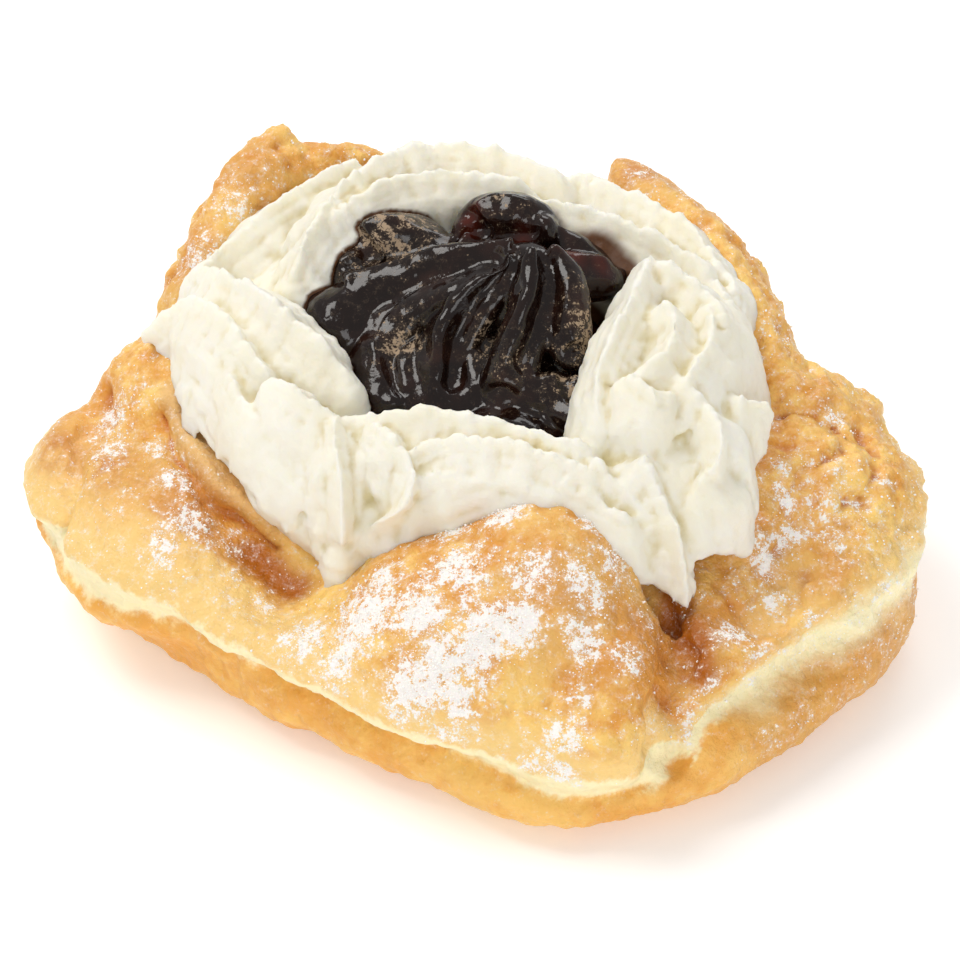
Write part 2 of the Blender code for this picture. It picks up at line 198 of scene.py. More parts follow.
def pointGroup(piece, name, weights, levels=20):
    # vertex group whose weights are rounded to that many levels
    group = piece.vertex_groups.new(name=name)
    steps = np.round(np.clip(weights, 0, 1) * levels).astype(int)
    for step in range(1, levels + 1):
        chosen = np.nonzero(steps == step)[0].tolist()
        if chosen:
            group.add(chosen, step / levels, "REPLACE")


# simple bodies that the pieces are fused from

def puff(azimuth, radius, height, length, width, depth, lean=0, axis=(0, 0)):
    bpy.ops.mesh.primitive_uv_sphere_add(
        segments=48, ring_count=24, radius=mm, location=polar(azimuth, radius, height, axis),
        rotation=(0, math.radians(lean), math.radians(azimuth)), scale=(length, width, depth))
    return bpy.context.object


def crestProfile(peak, hollow):
    # cross-section of a piped ridge, round below and drawn up to a crest
    bpy.ops.curve.primitive_bezier_circle_add()
    made = bpy.context.object
    made.data.dimensions = "2D"
    made.data.splines.clear()
    turns = [math.pi * (1 + step / 10) for step in range(10)]
    outline = [(math.cos(turn), math.sin(turn)) for turn in turns]
    outline += [(1 - step / 10, peak * (1 - abs(1 - step / 10)) ** hollow) for step in range(20)]
    line = made.data.splines.new("POLY")
    line.points.add(len(outline) - 1)
    line.use_cyclic_u = True
    for point, (x, y) in zip(line.points, outline):
        point.co = (x, y, 0, 1)
    return made


def three(values):
    return (values[0], sum(values) / 2, values[1]) if len(values) == 2 else values


def ridge(azimuth, radius, height, thick, profile, axis, steps=30):
    # ridge along a path of that many steps, each value at its start, middle and end
    bpy.ops.curve.primitive_bezier_curve_add()
    made = bpy.context.object
    curve = made.data
    curve.splines.clear()
    curve.dimensions = "3D"
    curve.twist_mode = "Z_UP"
    curve.use_fill_caps = True
    curve.bevel_mode = "OBJECT"
    curve.bevel_object = profile
    peak = max(point.co.y for point in profile.data.splines[0].points)
    line = curve.splines.new("POLY")
    line.points.add(steps)
    for index, point in enumerate(line.points):
        share = index / steps
        size = through(thick, share) * math.sqrt(max(0.03, 1 - (2 * share - 1) ** 4))
        level = through(height, share) - peak * size
        point.co = (*polar(through(three(azimuth), share), through(radius, share), level, axis), 1)
        point.radius = size * mm
    pick(made)
    bpy.ops.object.convert(target="MESH")
    return bpy.context.object


def ridgesFrom(rows, peak, hollow, axis=(0, 0)):
    profile = crestProfile(peak, hollow)
    made = [ridge(*row, profile, axis) for row in rows]
    bpy.data.objects.remove(profile)
    return made


# pastry

pastryLook = {
    "starRadius": 60,
    "coarseVoxel": 1.4,
    "coarseSmoothing": 9,
    "fineVoxel": 0.55,
    "fineSmoothing": 2,
    # lowest and highest level of the two halves of the dough
    "lowerLevels": (-1.5, 15.5),
    "upperLevels": (9, 22),
    # broad lumps of the skin, and the lip over the belt
    "lumpSize": 12,
    "lumpHeight": 0.8,
    "lipHeight": 0.8,
    # sugar that lies between the patches, and that clings under the belt on the right
    "leastSugar": 0.15,
    "clingingSugar": 0.2,
    # share of starRadius by azimuth
    "lowerCrust": {180: .90, 196: .84, 217: .73, 238: .71, 258: .77, 284: .92, 310: .93, 342: .99, 5: .93,
                   25: .80, 52: .82, 88: .74, 122: .86, 156: .80},
    "upperCrust": {184: 1.01, 198: .92, 220: .78, 239: .74, 260: .775, 275: .835, 288: .935, 300: .86,
                   311: .85, 323: .875, 343: 1.0, 356: .98, 8: .84, 25: .72, 52: .76, 88: .68, 122: .80,
                   156: .72, 170: .80},
    # middle and half-width of the pale belt, in millimetres
    "beltHeight": {184: 16, 200: 15.5, 240: 12.5, 262: 11.5, 288: 8.5, 297: 10, 304: 13, 342: 15.2, 10: 17,
                   90: 15, 150: 16},
    "beltWidth": {184: 1.8, 204: 2.3, 222: 2.1, 245: 2.0, 270: 1.7, 285: 1.7, 295: 1.8, 300: 0.5, 306: 0.6,
                  313: 1.2, 325: 1.3, 345: 1.7, 10: 1.8, 90: 1.5, 150: 1.6},
}


def bun(outline, low, high, fullness=0.6):
    bpy.ops.mesh.primitive_uv_sphere_add(segments=96, ring_count=32, radius=1)
    made = bpy.context.object
    for vertex in made.data.vertices:
        x, y, z = vertex.co
        azimuth = math.degrees(math.atan2(y, x))
        radius = pastryLook["starRadius"] * around(outline, azimuth) * math.hypot(x, y) ** fullness
        rise = math.copysign(abs(z) ** fullness, z)
        vertex.co = polar(azimuth, radius, (low + high) / 2 + (high - low) / 2 * rise)
    return made


# azimuth, radius, height, length, width, depth and lean of the puffs in the petals
petalPuffs = [
    # left petal with the smooth thumb at its tip
    (190, 38, 15, 20, 21, 12, 4), (183, 51.5, 17, 8.5, 12, 8), (168, 40, 20, 12, 13, 12, 6),
    # front petal
    (273, 32, 16, 17, 21, 14, 12), (285, 31, 22, 12, 13, 12, 14), (292, 38, 15.5, 15, 10, 11, 10),
    # right petal
    (338, 41, 13, 18, 18, 11, 4), (350, 44, 17.5, 14.5, 13, 12, 3), (342, 36, 22, 10, 12, 8),
    (2, 42, 21.5, 11, 11, 9),
    # low rise between the back flaps
    (88, 32, 16, 13, 24, 13),
]
# azimuth, radius, height and thickness of the back flaps' rolls at their start, middle and end
flapRolls = [
    ((65, 40, 2), (43.5, 38.5, 39.5), (42, 41, 32), (3.5, 7, 7)),
    ((70, 40, 2), (37, 34, 36), (32, 33, 27), (6, 10, 10)),
    ((121, 139, 160), (50.5, 45.5, 41.5), (45, 40.5, 29.5), (3.5, 6, 8)),
    ((98, 110, 125), (43, 46, 47.5), (33, 39, 42.5), (4, 5, 5)),
    ((100, 130, 165), (42, 41, 39), (31, 32, 26), (8, 11, 9)),
]


def beltPath(first, last, rise):
    # points along the belt, that far over its middle
    azimuths = np.linspace(first, last, int(abs(last - first) / 5) + 2)
    return [
        tuple(polar(a, pastryLook["starRadius"] * around(pastryLook["upperCrust"], a),
                    around(pastryLook["beltHeight"], a) + rise) / mm)
        for a in azimuths
    ]


# paths that folds and marks follow, laid on the skin from these points
frontCrease = [
    (19, -24, 30), (22.2, -27, 24), (23.9, -31, 18), (24.9, -38, 20), (25, -42, 19.5), (24.6, -46.5, 17),
    (24, -49.5, 12.5),
]
creaseFlank = [(x + 3.5, y + 1, z) for x, y, z in frontCrease[:4]]
leftPit = [(-29, -19.5, 19.5), (-25.8, -22.2, 17.5), (-23.5, -24, 17)]
tornLedge = [
    (-42, -3, 30), (-40, -7, 28), (-37.2, -11.2, 27.5), (-34.6, -15.4, 26), (-30.7, -17.6, 24),
    (-26.5, -19.5, 21),
]

# depth and width of every broad fold, and the points that it runs through on the skin
folds = [
    (1.2, 2.0, *beltPath(184, 232, rise=-1)),
    (1.5, 1.8, *beltPath(232, 292, rise=-1.3)),
    (0.9, 2.2, *beltPath(311, 520, rise=-1)),
    (-1.0, 2.0, *beltPath(311, 366, rise=5)),
    # crease between the front and right petals, and the hollow between the left and front ones
    (3.2, 2.4, *frontCrease[:3]),
    (2.8, 2.9, *frontCrease[3:]),
    (1.6, 2.0, *frontCrease[2:]),
    (4, 5, (-31, -19, 25), (-24, -24, 22), (-26, -28, 20)),
    (-1.5, 3.0, (24.5, -24, 26), (28, -30, 22), (29, -37, 18)),
    # thumb of the left petal, folds of the right one
    (1.5, 2.5, (-50, 4, 26), (-52.5, -6, 24), (-53.5, -13, 19)),
    (1.5, 3, (27, -35, 26), (35, -32, 23), (39, -27, 23), (41, -17, 28)),
    (1.2, 2, (26, -43, 13), (35, -39, 15), (47, -32, 17), (56, -20, 19)),
]
# the same for the narrow creases, which are pressed into the fine skin
creases = [
    (1.0, 1.1, *frontCrease),
    (1.5, 1.0, *tornLedge),
    (-1.1, 1.5, *[(x + 1.2, y + 1.8, z) for x, y, z in tornLedge]),
    (1.0, 1.0, (-50, 6, 26), (-52.5, -2, 25), (-52.6, -9, 23.5), (-54.3, -14.5, 18)),
    (0.7, 1.3, (-55, -3, 24), (-57, -9, 21), (-55, -13, 17)),
    # round a smooth lump near the top of the right petal, and pits beside it
    (1.1, 0.9, (35, -4, 29), (40.7, -3, 30.5), (44, -3.5, 30), (46.7, -6, 29), (47, -9, 28), (43, -12, 28)),
    (1.1, 0.9, (45.5, -4.5, 29), (48, -5.7, 28.5), (51, -7, 27)),
    (1.4, 1.1, (47, -16.4, 26), (49.5, -16, 26), (50.5, -13, 27)),
    (1.0, 1.0, (51, -12, 27), (52, -8, 27), (50, -3, 28)),
    (0.9, 1.0, (31, -28, 24), (35, -32.9, 22), (37, -31, 22.5), (40, -26, 24)),
    (0.8, 0.9, (33, -20, 27), (38, -22, 26), (43, -21, 26)),
    # round the back flaps
    (0.8, 1.1, (27, 37, 36), (34, 27, 34), (40, 15, 31)),
    (0.8, 1.1, (-44, 24, 33), (-37, 33, 37), (-28, 40, 41)),
]

# azimuth, distance, reach and strength of each patch of sifted sugar, seen from above
sugarPatches = [
    # front petal, thickest above its lip
    (270, 43, 5.1, 1.0), (263, 45, 4.1, 1.0), (277, 42, 3.3, 1.0), (248, 39, 5.1, .85),
    (259, 39, 4.6, .85), (249, 35, 3.6, .8), (266, 34, 4.6, .75), (280, 37, 3.6, .8), (277, 27, 3.1, .8),
    (262, 26, 3.1, .7), (289, 39, 3.6, .65), (286, 44, 3.1, .75), (296, 31, 1.8, .85), (297, 36, 3.1, .6),
    (306, 35, 2.6, .5), (266, 47, 2.8, .95), (258, 46, 2.8, .9), (238, 41, 3.6, .85), (224, 38.5, 2, 1.0),
    (246, 43, 3.3, .8), (281, 53, 4.1, .65), (276, 52, 2.3, .65), (284, 48, 2.6, .6), (292, 47, 2.6, .55),
    (299, 41, 3.1, .35),
    # left petal
    (179, 47, 4.8, .55), (186, 48, 3.6, .6), (188, 42, 2.8, .75), (197, 41, 2.3, .85),
    (200, 40, 1.7, .95), (208, 46, 3.1, .75), (207, 41, 3.1, .7), (210, 37, 2.8, .6), (199, 49, 1.5, .55),
    (218, 39, 2.3, .6),
    # right petal
    (357, 46, 2.3, .65), (341, 41, 1.7, .75), (337, 42, 1.8, .7), (333, 44, 2.3, .75), (335, 50, 3, .55),
    (327, 43, 2.8, .7), (320, 41, 2.6, .6), (323, 47, 2.3, .75), (312, 47, 2.6, .75), (313, 52, 2.8, .75),
    (323, 53, 2, .85), (305, 52, 2.3, .8), (335, 58.5, 2.6, .7), (322, 55, 2.6, .6), (300, 51, 3.1, .5),
    (347, 53, 2, .55), (340, 47, 9, .38),
    # back flaps
    (138, 45, 3.8, .5), (149, 44, 3.6, .55), (160, 44, 3, .4), (126, 47, 2.6, .25), (57, 41, 2.6, .35),
    (37, 37, 3.1, .4), (13, 40, 3.1, .4),
]
# bare skin in the sugar
barePatches = [
    (276, 47, 2.8, 1), (281, 45, 2.2, 1), (221, 36, 4, 1), (310, 36, 5, .8), (317, 38, 4, .9),
    (197, 33, 6, .9), (273, 50, 2.6, .9), (188, 56, 3.6, 1), (205, 51, 4.6, .9), (197, 34, 5.1, 1),
    (182, 40, 2.8, .8), (221, 33, 2.8, .9), (349, 39, 2.6, .6), (319, 47, 1.5, .6),
]
# crust that is baked to a deeper brown
bakedPatches = [
    (285, 39, 8, .6), (297, 43, 6, .75), (296, 36, 6, .6), (306, 45, 5, .6), (262, 44, 4, .3),
    (291, 47, 4, .4), (184, 56, 6, .9), (190, 48, 5, .9), (195, 44, 6, .6), (203, 40, 7, .8),
    (214, 36, 4, .6), (222, 41, 5, .5), (198, 51, 5, .3), (186, 33, 5, .6), (313, 45, 6, .5),
    (328, 43, 7, .45), (330, 51, 6, .35), (0, 45, 5, .3), (132, 47, 6, .6), (150, 44, 6, .5),
    (59, 42, 7, .8),
]


def patchField(points, patches, axis=(0, 0)):
    field = np.zeros(len(points))
    for azimuth, radius, reach, strength in patches:
        centre = polar(azimuth, radius, 0, axis)
        away = np.hypot(points[:, 0] - centre.x, points[:, 1] - centre.y) / mm
        field = np.maximum(field, strength * np.exp(-((away / reach) ** 2)))
    return field


def beltField(points, rise=0):
    # height over the middle of the belt in half-widths, and share of the way out to the crust's edge
    azimuths = azimuthsOf(points)
    middle, width, rim = (
        np.array([around(pastryLook[table], a) for a in azimuths])
        for table in ("beltHeight", "beltWidth", "upperCrust"))
    away = np.hypot(points[:, 0], points[:, 1]) / mm
    return (points[:, 2] / mm - middle - rise) / width, away / (rim * pastryLook["starRadius"])


def curlLip(pastry):
    # crisp edge where the crust curls over the belt
    points = pointsOf(pastry)
    over, share = beltField(points)
    wavy = over + 0.3 * noiseOver(points, 7, seed=3)
    lip = smoothStep(0.8, 1.2, wavy) * smoothStep(3.5, 1.4, wavy)
    lip -= 0.6 * smoothStep(-1.4, -0.9, wavy) * smoothStep(0.6, 0.0, wavy)
    azimuths = azimuthsOf(points) % 360
    lip *= smoothStep(0.74, 0.86, share) * (1 - 0.7 * smoothStep(296, 304, azimuths))
    movePoints(pastry, points + normalsOf(pastry) * (pastryLook["lipHeight"] * mm * lip)[:, None])


def blisterSkin(pastry):
    # puffed and blistered skin, roughest on the right petal and the flaps
    points = pointsOf(pastry)
    azimuths = azimuthsOf(points) % 360
    craggy = smoothStep(306, 330, azimuths) + smoothStep(60, 30, azimuths)
    craggy += 0.8 * smoothStep(100, 120, azimuths) * smoothStep(176, 164, azimuths)
    craggy *= smoothStep(1, 2.5, beltField(points)[0])
    pointGroup(pastry, "craggy", np.clip(craggy, 0, 1))
    relief(pastry, "CLOUDS", size=6, height=1.0, noise_depth=2)
    relief(pastry, "VORONOI", size=4.0, height=1.3, group="craggy")
    relief(pastry, "CLOUDS", size=2.4, height=1.3, group="craggy", noise_depth=2)
    relief(pastry, "CLOUDS", size=2.0, height=0.9, noise_depth=3)


def makePastry():
    lower = bun(pastryLook["lowerCrust"], *pastryLook["lowerLevels"])
    upper = bun(pastryLook["upperCrust"], *pastryLook["upperLevels"])
    bodies = [lower, upper, *(puff(*row) for row in petalPuffs), *ridgesFrom(flapRolls, 1.15, 0.7)]
    pastry = fuse("friedStar", bodies, pastryLook["coarseVoxel"], pastryLook["coarseSmoothing"])
    for depth, width, *path in folds:
        fold(pastry, depth, width, path)
    lumps = noiseOver(pointsOf(pastry), pastryLook["lumpSize"]) * pastryLook["lumpHeight"]
    movePoints(pastry, pointsOf(pastry) + normalsOf(pastry) * (lumps * mm)[:, None])
    remesh(pastry, pastryLook["fineVoxel"], pastryLook["fineSmoothing"])
    for depth, width, *path in creases:
        fold(pastry, depth, width, path)
    curlLip(pastry)
    blisterSkin(pastry)
    standFlat(pastry)
    paintPastry(pastry)
    bpy.ops.object.shade_smooth()
    return pastry


def standFlat(piece):
    # slices the underside off at the floor
    pick(piece)
    startEditing()
    bpy.ops.mesh.bisect(
        plane_co=(0, 0, 0), plane_no=(0, 0, -1), clear_outer=True, use_fill=True, threshold=1e-7)
    stopEditing()


def valleysOf(piece):
    # how deep every point lies under a softened copy of the skin, in millimetres
    pick(piece)
    bpy.ops.object.duplicate()
    soft = bpy.context.object
    soften = soft.modifiers.new("soften", "SMOOTH")
    soften.factor = 0.5
    soften.iterations = valleyRounds
    applyModifiers(soft)
    depth = ((pointsOf(soft) - pointsOf(piece)) * normalsOf(piece)).sum(axis=1) / mm
    bpy.data.objects.remove(soft)
    pick(piece)
    return depth


def paintPastry(pastry):
    points, normals = pointsOf(pastry), normalsOf(pastry)
    azimuths = azimuthsOf(points)
    leftFront = smoothStep(190, 215, azimuths % 360) * smoothStep(298, 285, azimuths % 360)
    over, share = beltField(points, rise=1.1 * leftFront)
    storeMask(pastry, "overBelt", over + 12 * smoothStep(0.84, 0.74, share))
    # how deep each point lies in a valley, for the painted shade there and the paler blisters
    storeMask(pastry, "valley", valleysOf(pastry))
    # painted shade, deep orange, in the creases and hollows
    shadeInCreases = np.zeros(len(points))
    marks = ((1, leftPit, 3.2), (1, frontCrease[:5], 3.0), (0.8, creaseFlank, 2.6), (0.45, tornLedge, 1.4))
    for strength, path, width in marks:
        shadeInCreases = np.maximum(shadeInCreases, strength * nearness(pastry, path, width))
    storeMask(pastry, "shadeInCreases", shadeInCreases)
    storeMask(pastry, "torn", nearness(pastry, [(x + 2, y + 3, z + 1) for x, y, z in tornLedge], 2.2))
    storeMask(pastry, "baked", patchField(points, bakedPatches))
    sugar = patchField(points, sugarPatches) * (1 - patchField(points, barePatches))
    sugar = np.maximum(sugar, pastryLook["leastSugar"]) * smoothStep(-0.1, 0.4, normals[:, 2])
    sugar *= 1 + 0.5 * noiseOver(points, 4.5, seed=5)
    rightSide = smoothStep(-58, -48, azimuths) * smoothStep(30, 10, azimuths)
    clinging = pastryLook["clingingSugar"] * rightSide * smoothStep(0.9, 0.5, np.abs(normals[:, 2]))
    clinging *= smoothStep(3, 8, points[:, 2] / mm)
    sugar = np.maximum(sugar * smoothStep(-0.6, 0.8, over), clinging)
    storeMask(pastry, "rightSide", rightSide)
    storeMask(pastry, "sugar", sugar)


# cream

creamLook = {
    "axis": (0, 8),
    "voxel": 0.455,
    "smoothing": 2,
    "tearWidth": 1.0,
    "tearDepth": 0.6,
    "lift": 0.5,
    # the skin falls away from a crest by this much over this distance, and ends in a steep edge
    "fall": 6.0,
    "fallWidth": 3.0,
    "edgeSteepness": 1.6,
    "skinSize": 104,
    "skinStep": 0.45,
    "thickest": 9.0,
    "streakHeight": 0.22,
    "streakLength": 14,
    "streakWidth": 0.9,
    "toothLength": 1.3,
}

# azimuth, radius, height and thickness of every crest at its start, middle and end
creamCrests = [
    # back, side by side round the wreath
    ((165, 147, 123), (38, 33, 30.5), (38, 42, 44), (3, 4.5, 3.5)),
    ((168, 146, 107), (25, 24, 25.5), (40, 46, 47.3), (3.5, 4.5, 4)),
    ((112, 90, 62), (27, 24.5, 23), (46.5, 47, 45.2), (3, 4, 3)),
    ((161, 130, 68), (24.5, 21, 17), (41, 46.8, 46.5), (2.4, 2.6, 2.6)),
    ((157, 110, 54), (22.5, 19.5, 18.5), (37, 40, 39), (5, 6, 5)),
    ((60, 56, 50), (24.5, 26.5, 26.5), (44, 44, 43.5), (2, 2.5, 2)),
    ((68, 33, 8), (16, 20.5, 29.5), (45, 45, 42.5), (4.5, 5, 4)),
    ((63, 34, 1), (24, 28.5, 33.5), (43, 43.5, 39.5), (3.5, 3.8, 2.6)),
    ((12, -8, -17), (29, 33.5, 36), (41, 40, 36.5), (3, 2.6, 2.2)),
    ((-31, -29, -26), (38.5, 40, 41.5), (39.5, 38, 36), (3, 2.2, 0.4)),
    # end of the piping, folded over on the right, with a hook, a blade and a spike
    ((-4, -42, -59), (21.5, 22.5, 28.5), (47.5, 46, 41), (3, 3, 2.6)),
    ((-4, -11, -21), (22, 29, 33.5), (47.5, 46, 43), (3, 5, 4)),
    ((-50, -49, -45), (29.5, 32.5, 33.5), (45.5, 44.5, 43.5), (3.5, 3, 0.8)),
    ((-23, -32, -46), (25.5, 29, 29.5), (47, 46, 45), (2.5, 3, 3)),
    ((-16, -28, -41), (30, 32.5, 33), (45, 44, 43.5), (3, 3.5, 3.5)),
    ((-40, -42, -50), (31.5, 39, 42), (43.5, 40.5, 34.5), (3.5, 4.5, 4)),
    ((-30, -34, -38), (37, 38.5, 39), (38, 34.5, 30), (3.2, 2.4, 2.2)),
    ((-48, -45.5, -47), (39.5, 42.5, 44), (34.5, 32.5, 28.5), (2.8, 2.6, 1.6)),
    ((-56, -56.5, -57.2), (37, 42.8, 48.6), (38.5, 31, 21.2), (5.5, 3.6, 0.2)),
    ((-64, -60, -57.2), (33.5, 39.5, 46.5), (37.5, 32.5, 24), (3.4, 2.2, 0.3)),
    # front
    ((-127, -97, -65), (28, 24, 30.5), (38.5, 40, 38.5), (3.5, 4, 4)),
    ((-110, -90, -66), (30, 27.5, 34), (36, 39, 37), (3, 4.5, 4)),
    ((-104, -83, -63), (31.5, 29.5, 40), (34, 36.5, 33), (3, 4, 3.5)),
    # left, across the wreath from its rim to the jam
    ((166, 188, 217), (38.5, 27.5, 21.5), (38.5, 43, 38.5), (3, 5.5, 3)),
    ((-179, -176, -152), (44, 35.5, 30.5), (34.5, 41, 39), (0.8, 4.5, 3.5)),
    ((-145, -137, -127), (32, 31, 28.5), (41.5, 41, 38.5), (2.2, 3.5, 3.5)),
    ((-168, -146, -124), (40, 36, 35), (32, 30.5, 27), (0.8, 1.8, 2.2)),
    ((-171, -151, -128), (38.5, 33.5, 33.5), (35, 35, 29.5), (2, 3.5, 3)),
    ((-158, -140, -125), (35, 35, 32.5), (38, 36, 31), (2, 2.5, 2)),
    ((-131, -120, -108), (32.5, 33.5, 31), (29, 26, 29), (2.4, 2.6, 2.6)),
    ((-118, -108, -113), (28, 31, 34.5), (39, 36, 25), (4, 3.6, 2.2)),
    ((-127, -122, -119), (30.5, 33.5, 36), (39, 35.5, 26), (2.5, 3, 3)),
    ((-148, -143, -131), (33, 35, 36), (37, 33, 27), (2.6, 3, 2.6)),
]

# the same for the thick rolls under them
creamCore = [
    ((0, 120), (27, 25, 27), (36, 39, 38), (8, 9, 8)),
    ((110, 200), (27, 29, 28), (37, 37, 35), (8, 9, 8)),
    ((190, 245), (28, 27, 28), (34, 34, 31), (8, 8, 6)),
    ((235, 370), (26, 26.5, 27), (33, 34, 36), (7, 6, 8)),
    ((300, 360), (30, 31, 31), (36, 38, 36), (7, 8, 8)),
    ((304, 338), (35, 37, 33), (31, 33, 34), (4, 5, 5)),
    ((290, 330), (33, 35, 36), (33, 37, 36), (7, 8, 7)),
    ((212, 236, 256), (32.5, 31, 28.5), (33, 30, 33.5), (4.5, 6, 5.5)),
]


def skinOver(places, rows, axis, steps=100):
    # top and bottom of a skin of cream hung over the crests, in millimetres
    top = np.full(len(places), -100.0)
    bottom = np.full(len(places), -100.0)
    for order, (azimuth, *others) in enumerate(rows):
        shares = np.linspace(0, 1, steps)
        turn = np.radians([through(three(azimuth), s) for s in shares])
        radius, height, reach = (np.array([through(values, s) for s in shares]) for values in others)
        crest = np.column_stack([
            axis[0] + radius * np.cos(turn), axis[1] + radius * np.sin(turn), height + creamLook["lift"]])
        way = np.concatenate([[0], np.cumsum(np.linalg.norm(np.diff(crest, axis=0), axis=1))])
        # the crest wavers, and its edge is torn
        crest += [[0.5 * noise.noise(Vector((w / 3.5, order, k))) for k in (0.5, 10.5, 20.5)] for w in way]
        crest[:, 2] += [creamLook["tearDepth"] * noise.noise(Vector((w / 0.9, order, 30.5))) for w in way]
        reach *= 0.6 + 0.25 * np.sqrt(1 - np.abs(2 * shares - 1) ** 6)
        reach *= [1 + 0.25 * noise.noise(Vector((w / 2, order, 40.5))) for w in way]
        low, high = crest[:, :2].min(axis=0) - 8, crest[:, :2].max(axis=0) + 8
        close = np.nonzero(((places > low) & (places < high)).all(axis=1))[0]
        away = np.hypot(places[close, None, 0] - crest[:, 0], places[close, None, 1] - crest[:, 1])
        nearest = away.argmin(axis=1)
        away = away.min(axis=1)
        level = crest[nearest, 2] - creamLook["fall"] * (1 - np.exp(-away / creamLook["fallWidth"]))
        over = np.maximum(0, away - np.maximum(reach[nearest], 0.1))
        sharpness = np.maximum(1, 1.5 / np.maximum(reach[nearest], 0.1))
        top[close] = np.maximum(top[close], level - creamLook["edgeSteepness"] * sharpness * over ** 2)
        under = np.where(over < 3, level - np.minimum(creamLook["thickest"], 2.4 * reach[nearest]), -100)
        bottom[close] = np.maximum(bottom[close], under)
    return top, bottom


def creamSkin(rows, axis):
    size = creamLook["skinSize"]
    cells = int(size / creamLook["skinStep"])
    bpy.ops.mesh.primitive_grid_add(
        x_subdivisions=cells, y_subdivisions=cells, size=size * mm, location=(axis[0] * mm, axis[1] * mm, 0))
    bpy.ops.object.transform_apply(location=True, rotation=False, scale=False)
    skin = bpy.context.object
    points = pointsOf(skin)
    top, bottom = skinOver(points[:, :2] / mm, rows, axis)
    points[:, 2] = top * mm
    movePoints(skin, points)
    storeMask(skin, "underside", bottom)
    startEditing()
    bpy.ops.mesh.select_mode(type="VERT")
    bpy.ops.mesh.select_all(action="DESELECT")
    stopEditing()
    skin.data.vertices.foreach_set("select", (top <= bottom) | (bottom < 0))
    bpy.ops.object.mode_set(mode="EDIT")
    bpy.ops.mesh.delete(type="VERT")
    bpy.ops.mesh.select_all(action="SELECT")
    bpy.ops.mesh.extrude_region_move(TRANSFORM_OT_translate={"value": (0, 0, -mm)})
    stopEditing()
    # the pulled down copy takes the level of the skin's underside
    points = pointsOf(skin)
    lower = np.empty(len(points), dtype=bool)
    skin.data.vertices.foreach_get("select", lower)
    points[lower, 2] = maskOf(skin, "underside")[lower] * mm
    movePoints(skin, points)
    startEditing()
    bpy.ops.mesh.normals_make_consistent(inside=False)
    stopEditing()
    return skin


def alongCrests(piece, rows, axis, steps=80):
    # for every point: distance to the nearest crest, and the way run along it, in millimetres
    tree = kdtree.KDTree(len(rows) * (steps + 1))
    ways = []
    for order, (azimuth, radius, height, _) in enumerate(rows):
        way, last = order * 200.0, None
        for share in (index / steps for index in range(steps + 1)):
            turn = through(three(azimuth), share)
            place = polar(turn, through(radius, share), through(height, share), axis)
            way += (place - last).length / mm if last else 0
            last = place
            tree.insert(place, len(ways))
            ways.append(way)
    tree.balance()
    near = [tree.find(Vector(point)) for point in pointsOf(piece)]
    return np.array([n[2] for n in near]) / mm, np.array([ways[n[1]] for n in near])


def clearOf(piece, neighbour):
    # cuts the piece back to its neighbour's skin, or a little further in
    pick(neighbour)
    bpy.ops.object.duplicate()
    cutter = bpy.context.object
    shrink = cutter.modifiers.new("shrink", "DISPLACE")
    shrink.strength = -sinkDepth * mm
    shrink.mid_level = 0
    remesh(cutter, 0.8)
    cut = piece.modifiers.new("cut", "BOOLEAN")
    cut.operation = "DIFFERENCE"
    cut.solver = "MANIFOLD"
    cut.object = cutter
    applyModifiers(piece)
    bpy.data.objects.remove(cutter)


def keepLargest(piece):
    # drops loose crumbs, and the rest keeps the piece's name
    name = piece.name
    pick(piece)
    startEditing()
    bpy.ops.mesh.separate(type="LOOSE")
    stopEditing()
    parts = sorted(bpy.context.selected_objects, key=lambda part: len(part.data.vertices))
    largest = parts.pop()
    for part in parts:
        bpy.data.objects.remove(part)
    largest.name = largest.data.name = name
    return pick(largest)


def makeCream(pastry):
    axis = creamLook["axis"]
    bodies = ridgesFrom(creamCore, 1, 0.5, axis) + ridgesFrom(creamCrests, 1.5, 1.6, axis)
    bodies.append(creamSkin(creamCrests, axis))
    cream = fuse("pipedCream", bodies, creamLook["voxel"], creamLook["smoothing"])
    far, way = alongCrests(cream, creamCrests, axis)
    points, normals = pointsOf(cream), normalsOf(cream)
    # torn teeth on the crests, streaks along their flanks
    length, width, tooth = (creamLook[name] for name in ("streakLength", "streakWidth", "toothLength"))
    streaks = np.array([noise.noise(Vector((w / length, f / width, 3.0))) for f, w in zip(far, way)])
    teeth = np.array([
        noise.noise(Vector((w / tooth, 0, 0.5))) + 0.5 * noise.noise(Vector((w / 0.6, 5, 0.5))) for w in way])
    crest = np.exp(-((far / creamLook["tearWidth"]) ** 2))
    points += normals * (creamLook["streakHeight"] * mm * streaks * (1 - crest))[:, None]
    points[:, 2] += creamLook["tearDepth"] * mm * crest * teeth
    movePoints(cream, points)
    relief(cream, "CLOUDS", size=5, height=0.7, noise_depth=2)
    relief(cream, "CLOUDS", size=1.2, height=0.35, noise_depth=3)
    clearOf(cream, pastry)
    cream = keepLargest(cream)
    # how deep each point lies in a valley, for the painted shade there
    storeMask(cream, "valley", valleysOf(cream))
    bpy.ops.object.shade_smooth()
    return cream


# jam

jamLook = {
    "axis": (6, 8),
    "voxel": 0.3,
    "smoothing": 8,
    "hollowDepth": 1.2,
    "hollowWidth": 1.6,
    "edgeHeight": 0.4,
    "edgeWidth": 1.2,
    # reach of the stain on the cream, and of the film, which is widest at that azimuth
    "stainReach": 0.6,
    "filmReach": 2.4,
    "filmAzimuth": 38,
    "filmSpread": 28,
}

# azimuth, radius, height, length, width and depth of the lumps under the ridges
jamCore = [
    (200, 6, 28, 18, 16, 10), (0, 0, 38, 6, 6, 10), (150, 10, 34, 12, 9, 9), (177, 24, 33, 6, 6.5, 6.5),
    (264, 18, 29, 9, 8, 6),
]
